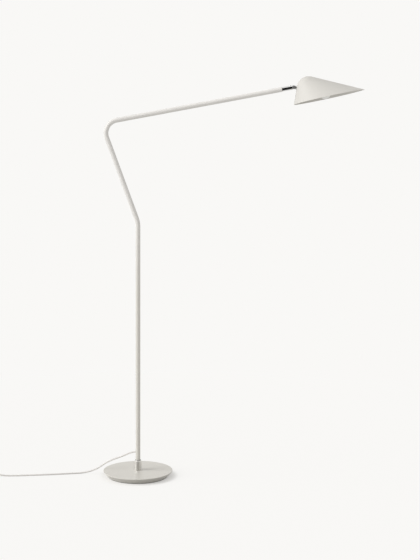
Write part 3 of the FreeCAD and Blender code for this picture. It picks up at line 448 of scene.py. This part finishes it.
def dress_nodes():
    """Gives every kept piece of the model its finish. Returns the cord's."""
    cord = soft_plastic("cord_plastic", CORD_GREY, rough=0.42)
    wear = {
        # the stem's coat carries painted light, paler high up
        powder_coat("painted_steel", PAINT, painted_light_top=UPPER_PAINTED_LIGHT): ("stem_tube",),
        # painted shade: the base's coat is a darker copy of the stem's
        powder_coat("base_paint_painted_shade", BASE_PAINTED_SHADE, rough=0.26, gloss=0.45): ("base_plate",),
        # painted shade: the lampshade's coat is a darker copy of the stem's
        powder_coat("shade_paint", LAMPSHADE_PAINTED_SHADE): ("shade",),
        foam_rubber(): ("base_pad",),
        satin_steel(): ("base_collar",),
        plated("zinc_steel", ZINC, rough=0.30): (
            "collar_grub_screw", "foot_spigot", "foot_washer", "foot_nut", "nipple_nut", "switch_screws"),
        plated("brass", BRASS, rough=0.24): (
            "arm_journal", "holder_shell", "holder_contact", "switch_terminals", "plug_pins"),
        plated("aluminium", ALUMINIUM, rough=0.30): ("seat_washer", "bulb_cap"),
        chrome("chrome", rough=0.035): ("swivel_sleeve", "lock_screw"),
        chrome("satin_chrome", rough=0.42): ("head_knuckle", "pivot_screw", "pivot_nut"),
        hard_plastic("washer_fibre", WASHER_BLACK, rough=0.45): ("friction_washers",),
        # partly painted shade: the seal's dark tone stands for the gap's shade too
        hard_plastic("seal_fibre_and_gap_shade", SEAL_GREY_AND_GAP_SHADE, rough=0.45): ("collar_seal",),
        hard_plastic("holder_plastic", HOLDER_WHITE, rough=0.34): ("holder_cap", "holder_body"),
        hard_plastic("switch_plastic", SWITCH_GREY, rough=0.30): (
            "switch_bottom", "switch_top", "switch_rocker"),
        white_ceramic(): ("holder_insert", "bulb_tip"),
        opal_glass(): ("bulb_globe",),
        soft_plastic("inner_cable", CABLE_WHITE, rough=0.40): ("stem_cable", "head_lead"),
        soft_plastic("tie_plastic", TIE_GREY, rough=0.5): ("coil_tie",),
        cord: ("cord_bush", "switch_glands", "plug_relief", "plug_body"),
    }
    for material, names in wear.items():
        for name in names:
            slots = NODES[name].data.materials
            slots.clear()
            slots.append(material)
    return cord


# ---------------------------------------------------------------- studio

BACKGROUND = (0.947, 0.939, 0.922)
FLOOR_PAPER = (0.975, 0.967, 0.950)
FLOOR_SHADED = (0.50, 0.495, 0.48)      # the floor's grey for bounced light, close to the base
FLOOR_OPEN = (0.72, 0.715, 0.70)        # and further out
FLOOR_FADE = ((0.15, 0.0), (0.40, 1.0))     # (metres from the upright's axis, share of the second grey)
# What shows of the floor is lit paper mixed with the backdrop's own tone, so that the lamp's shadow
# is clear close to the base and fades out beyond it: (metres from the axis, the backdrop's share).
SHADOW_FADE = ((0.104, 0.35), (0.124, 0.38), (0.142, 0.85), (2.0, 1.0))
FLOOR_REACH = 60.0
FLOOR_DROP = 0.0002
FLOOR_SIDES = 96
PAD_OPENING_R = 0.1035
SKY_WHITE = (1.0, 0.99, 0.975)
SKY_LEVEL = 0.54
FELT_BLACK = (0.012, 0.012, 0.012)
CARD_HALF_WIDTH = 9.0
CARD_SIDE = [(-0.32, 0.0), (-7.0, 0.0), (-5.5, 9.0)]     # (y, z): along the floor, then up the wall


def studio_floor():
    """Pale floor, clear from below and open under the lamp's pad, so that the underside shows.

    Away from the lamp it takes the backdrop's own tone, so no horizon shows.
    """
    turns = [2 * math.pi * k / FLOOR_SIDES for k in range(FLOOR_SIDES)]
    corners = [(radius * math.cos(turn), radius * math.sin(turn), 0)
               for radius in (PAD_OPENING_R, FLOOR_REACH) for turn in turns]
    faces = [(k, k + FLOOR_SIDES, (k + 1) % FLOOR_SIDES + FLOOR_SIDES, (k + 1) % FLOOR_SIDES)
             for k in range(FLOOR_SIDES)]
    data = bpy.data.meshes.new("floor")
    data.from_pydata(corners, [], faces)
    floor = bpy.data.objects.new("floor", data)
    floor.location.z = -FLOOR_DROP
    bpy.context.collection.objects.link(floor)
    paper = Finish("floor_paper", FLOOR_PAPER, **{"Roughness": 0.9, "Specular IOR Level": 0.0})
    from_middle = paper.node("ShaderNodeVectorMath", {"operation": "LENGTH"}, {0: paper.place})
    distance = Number(paper, from_middle.outputs["Value"])
    pale = paper.pale_rays()
    shaded = paper.node("ShaderNodeBsdfDiffuse", {}, {"Color": (*FLOOR_SHADED, 1.0)})
    unshaded = paper.node("ShaderNodeBsdfDiffuse", {}, {"Color": (*FLOOR_OPEN, 1.0)})
    out = paper.ramp(distance, *FLOOR_FADE)
    grey = paper.mix(out, shaded, unshaded)
    near = paper.mix(pale, grey, paper.surface)
    glow = paper.node("ShaderNodeEmission", {}, {"Color": (*BACKGROUND, 1.0)})
    share = paper.ramp(distance * 0.5, *((far / 2, backdrop) for far, backdrop in SHADOW_FADE))
    mixed = paper.mix(share * pale, near, glow)
    underneath = Number(paper, paper.node("ShaderNodeNewGeometry").outputs["Backfacing"])
    clear = paper.node("ShaderNodeBsdfTransparent")
    shown = paper.mix(underneath, mixed, clear)
    paper.tree.links.new(shown.outputs[0], paper.output.inputs[0])
    data.materials.append(paper.material)


def studio_world():
    """Even light all round; the camera, metal and glass see the pale backdrop."""
    world = bpy.data.worlds.new("studio")
    bpy.context.scene.world = world
    sky = Shader(world)
    lit = sky.node("ShaderNodeBackground", {}, {"Color": (*SKY_WHITE, 1.0), "Strength": SKY_LEVEL})
    seen = sky.node("ShaderNodeBackground", {}, {"Color": (*BACKGROUND, 1.0)})
    mixed = sky.mix(sky.pale_rays(), lit, seen)
    sky.node("ShaderNodeOutputWorld", {}, {0: mixed.outputs[0]})


def soft_sun(name, towards, strength, spread):
    """Broad soft light that shines along a direction. The spread is in degrees."""
    light = bpy.data.lights.new(name, "SUN")
    light.energy = strength
    light.angle = math.radians(spread)
    lamp = bpy.data.objects.new(name, light)
    lamp.rotation_mode = "QUATERNION"
    lamp.rotation_quaternion = Vector(towards).to_track_quat("-Z", "Y")
    bpy.context.collection.objects.link(lamp)


def dark_card():
    """Dark floor and wall in front of the lamp, seen only in reflections."""
    data = bpy.data.meshes.new("dark_card")
    corners = [(x, y, z) for y, z in CARD_SIDE for x in (-CARD_HALF_WIDTH, CARD_HALF_WIDTH)]
    data.from_pydata(corners, [], [(0, 1, 3, 2), (2, 3, 5, 4)])
    card = bpy.data.objects.new("dark_card", data)
    bpy.context.collection.objects.link(card)
    felt = Finish("dark_felt", FELT_BLACK, Roughness=1.0)
    felt.relief(felt.noise(scale=400.0), depth=0.5 * MM)
    data.materials.append(felt.material)
    card.visible_camera = False
    card.visible_diffuse = False
    card.visible_transmission = False
    card.visible_shadow = False


def studio():
    studio_floor()
    studio_world()
    soft_sun("left", towards=(0.86, 0.22, -0.50), strength=2.24, spread=40.0)
    soft_sun("front", towards=(-0.15, 0.90, -0.40), strength=0.42, spread=90.0)
    dark_card()
    bpy.context.scene.view_settings.view_transform = "Standard"


# ---------------------------------------------------------------- put together

place_camera()
leads = cords()
cord_finish = dress_nodes()
for lead in leads:
    lead.data.materials.append(cord_finish)
studio()

bpy.context.view_layer.update()
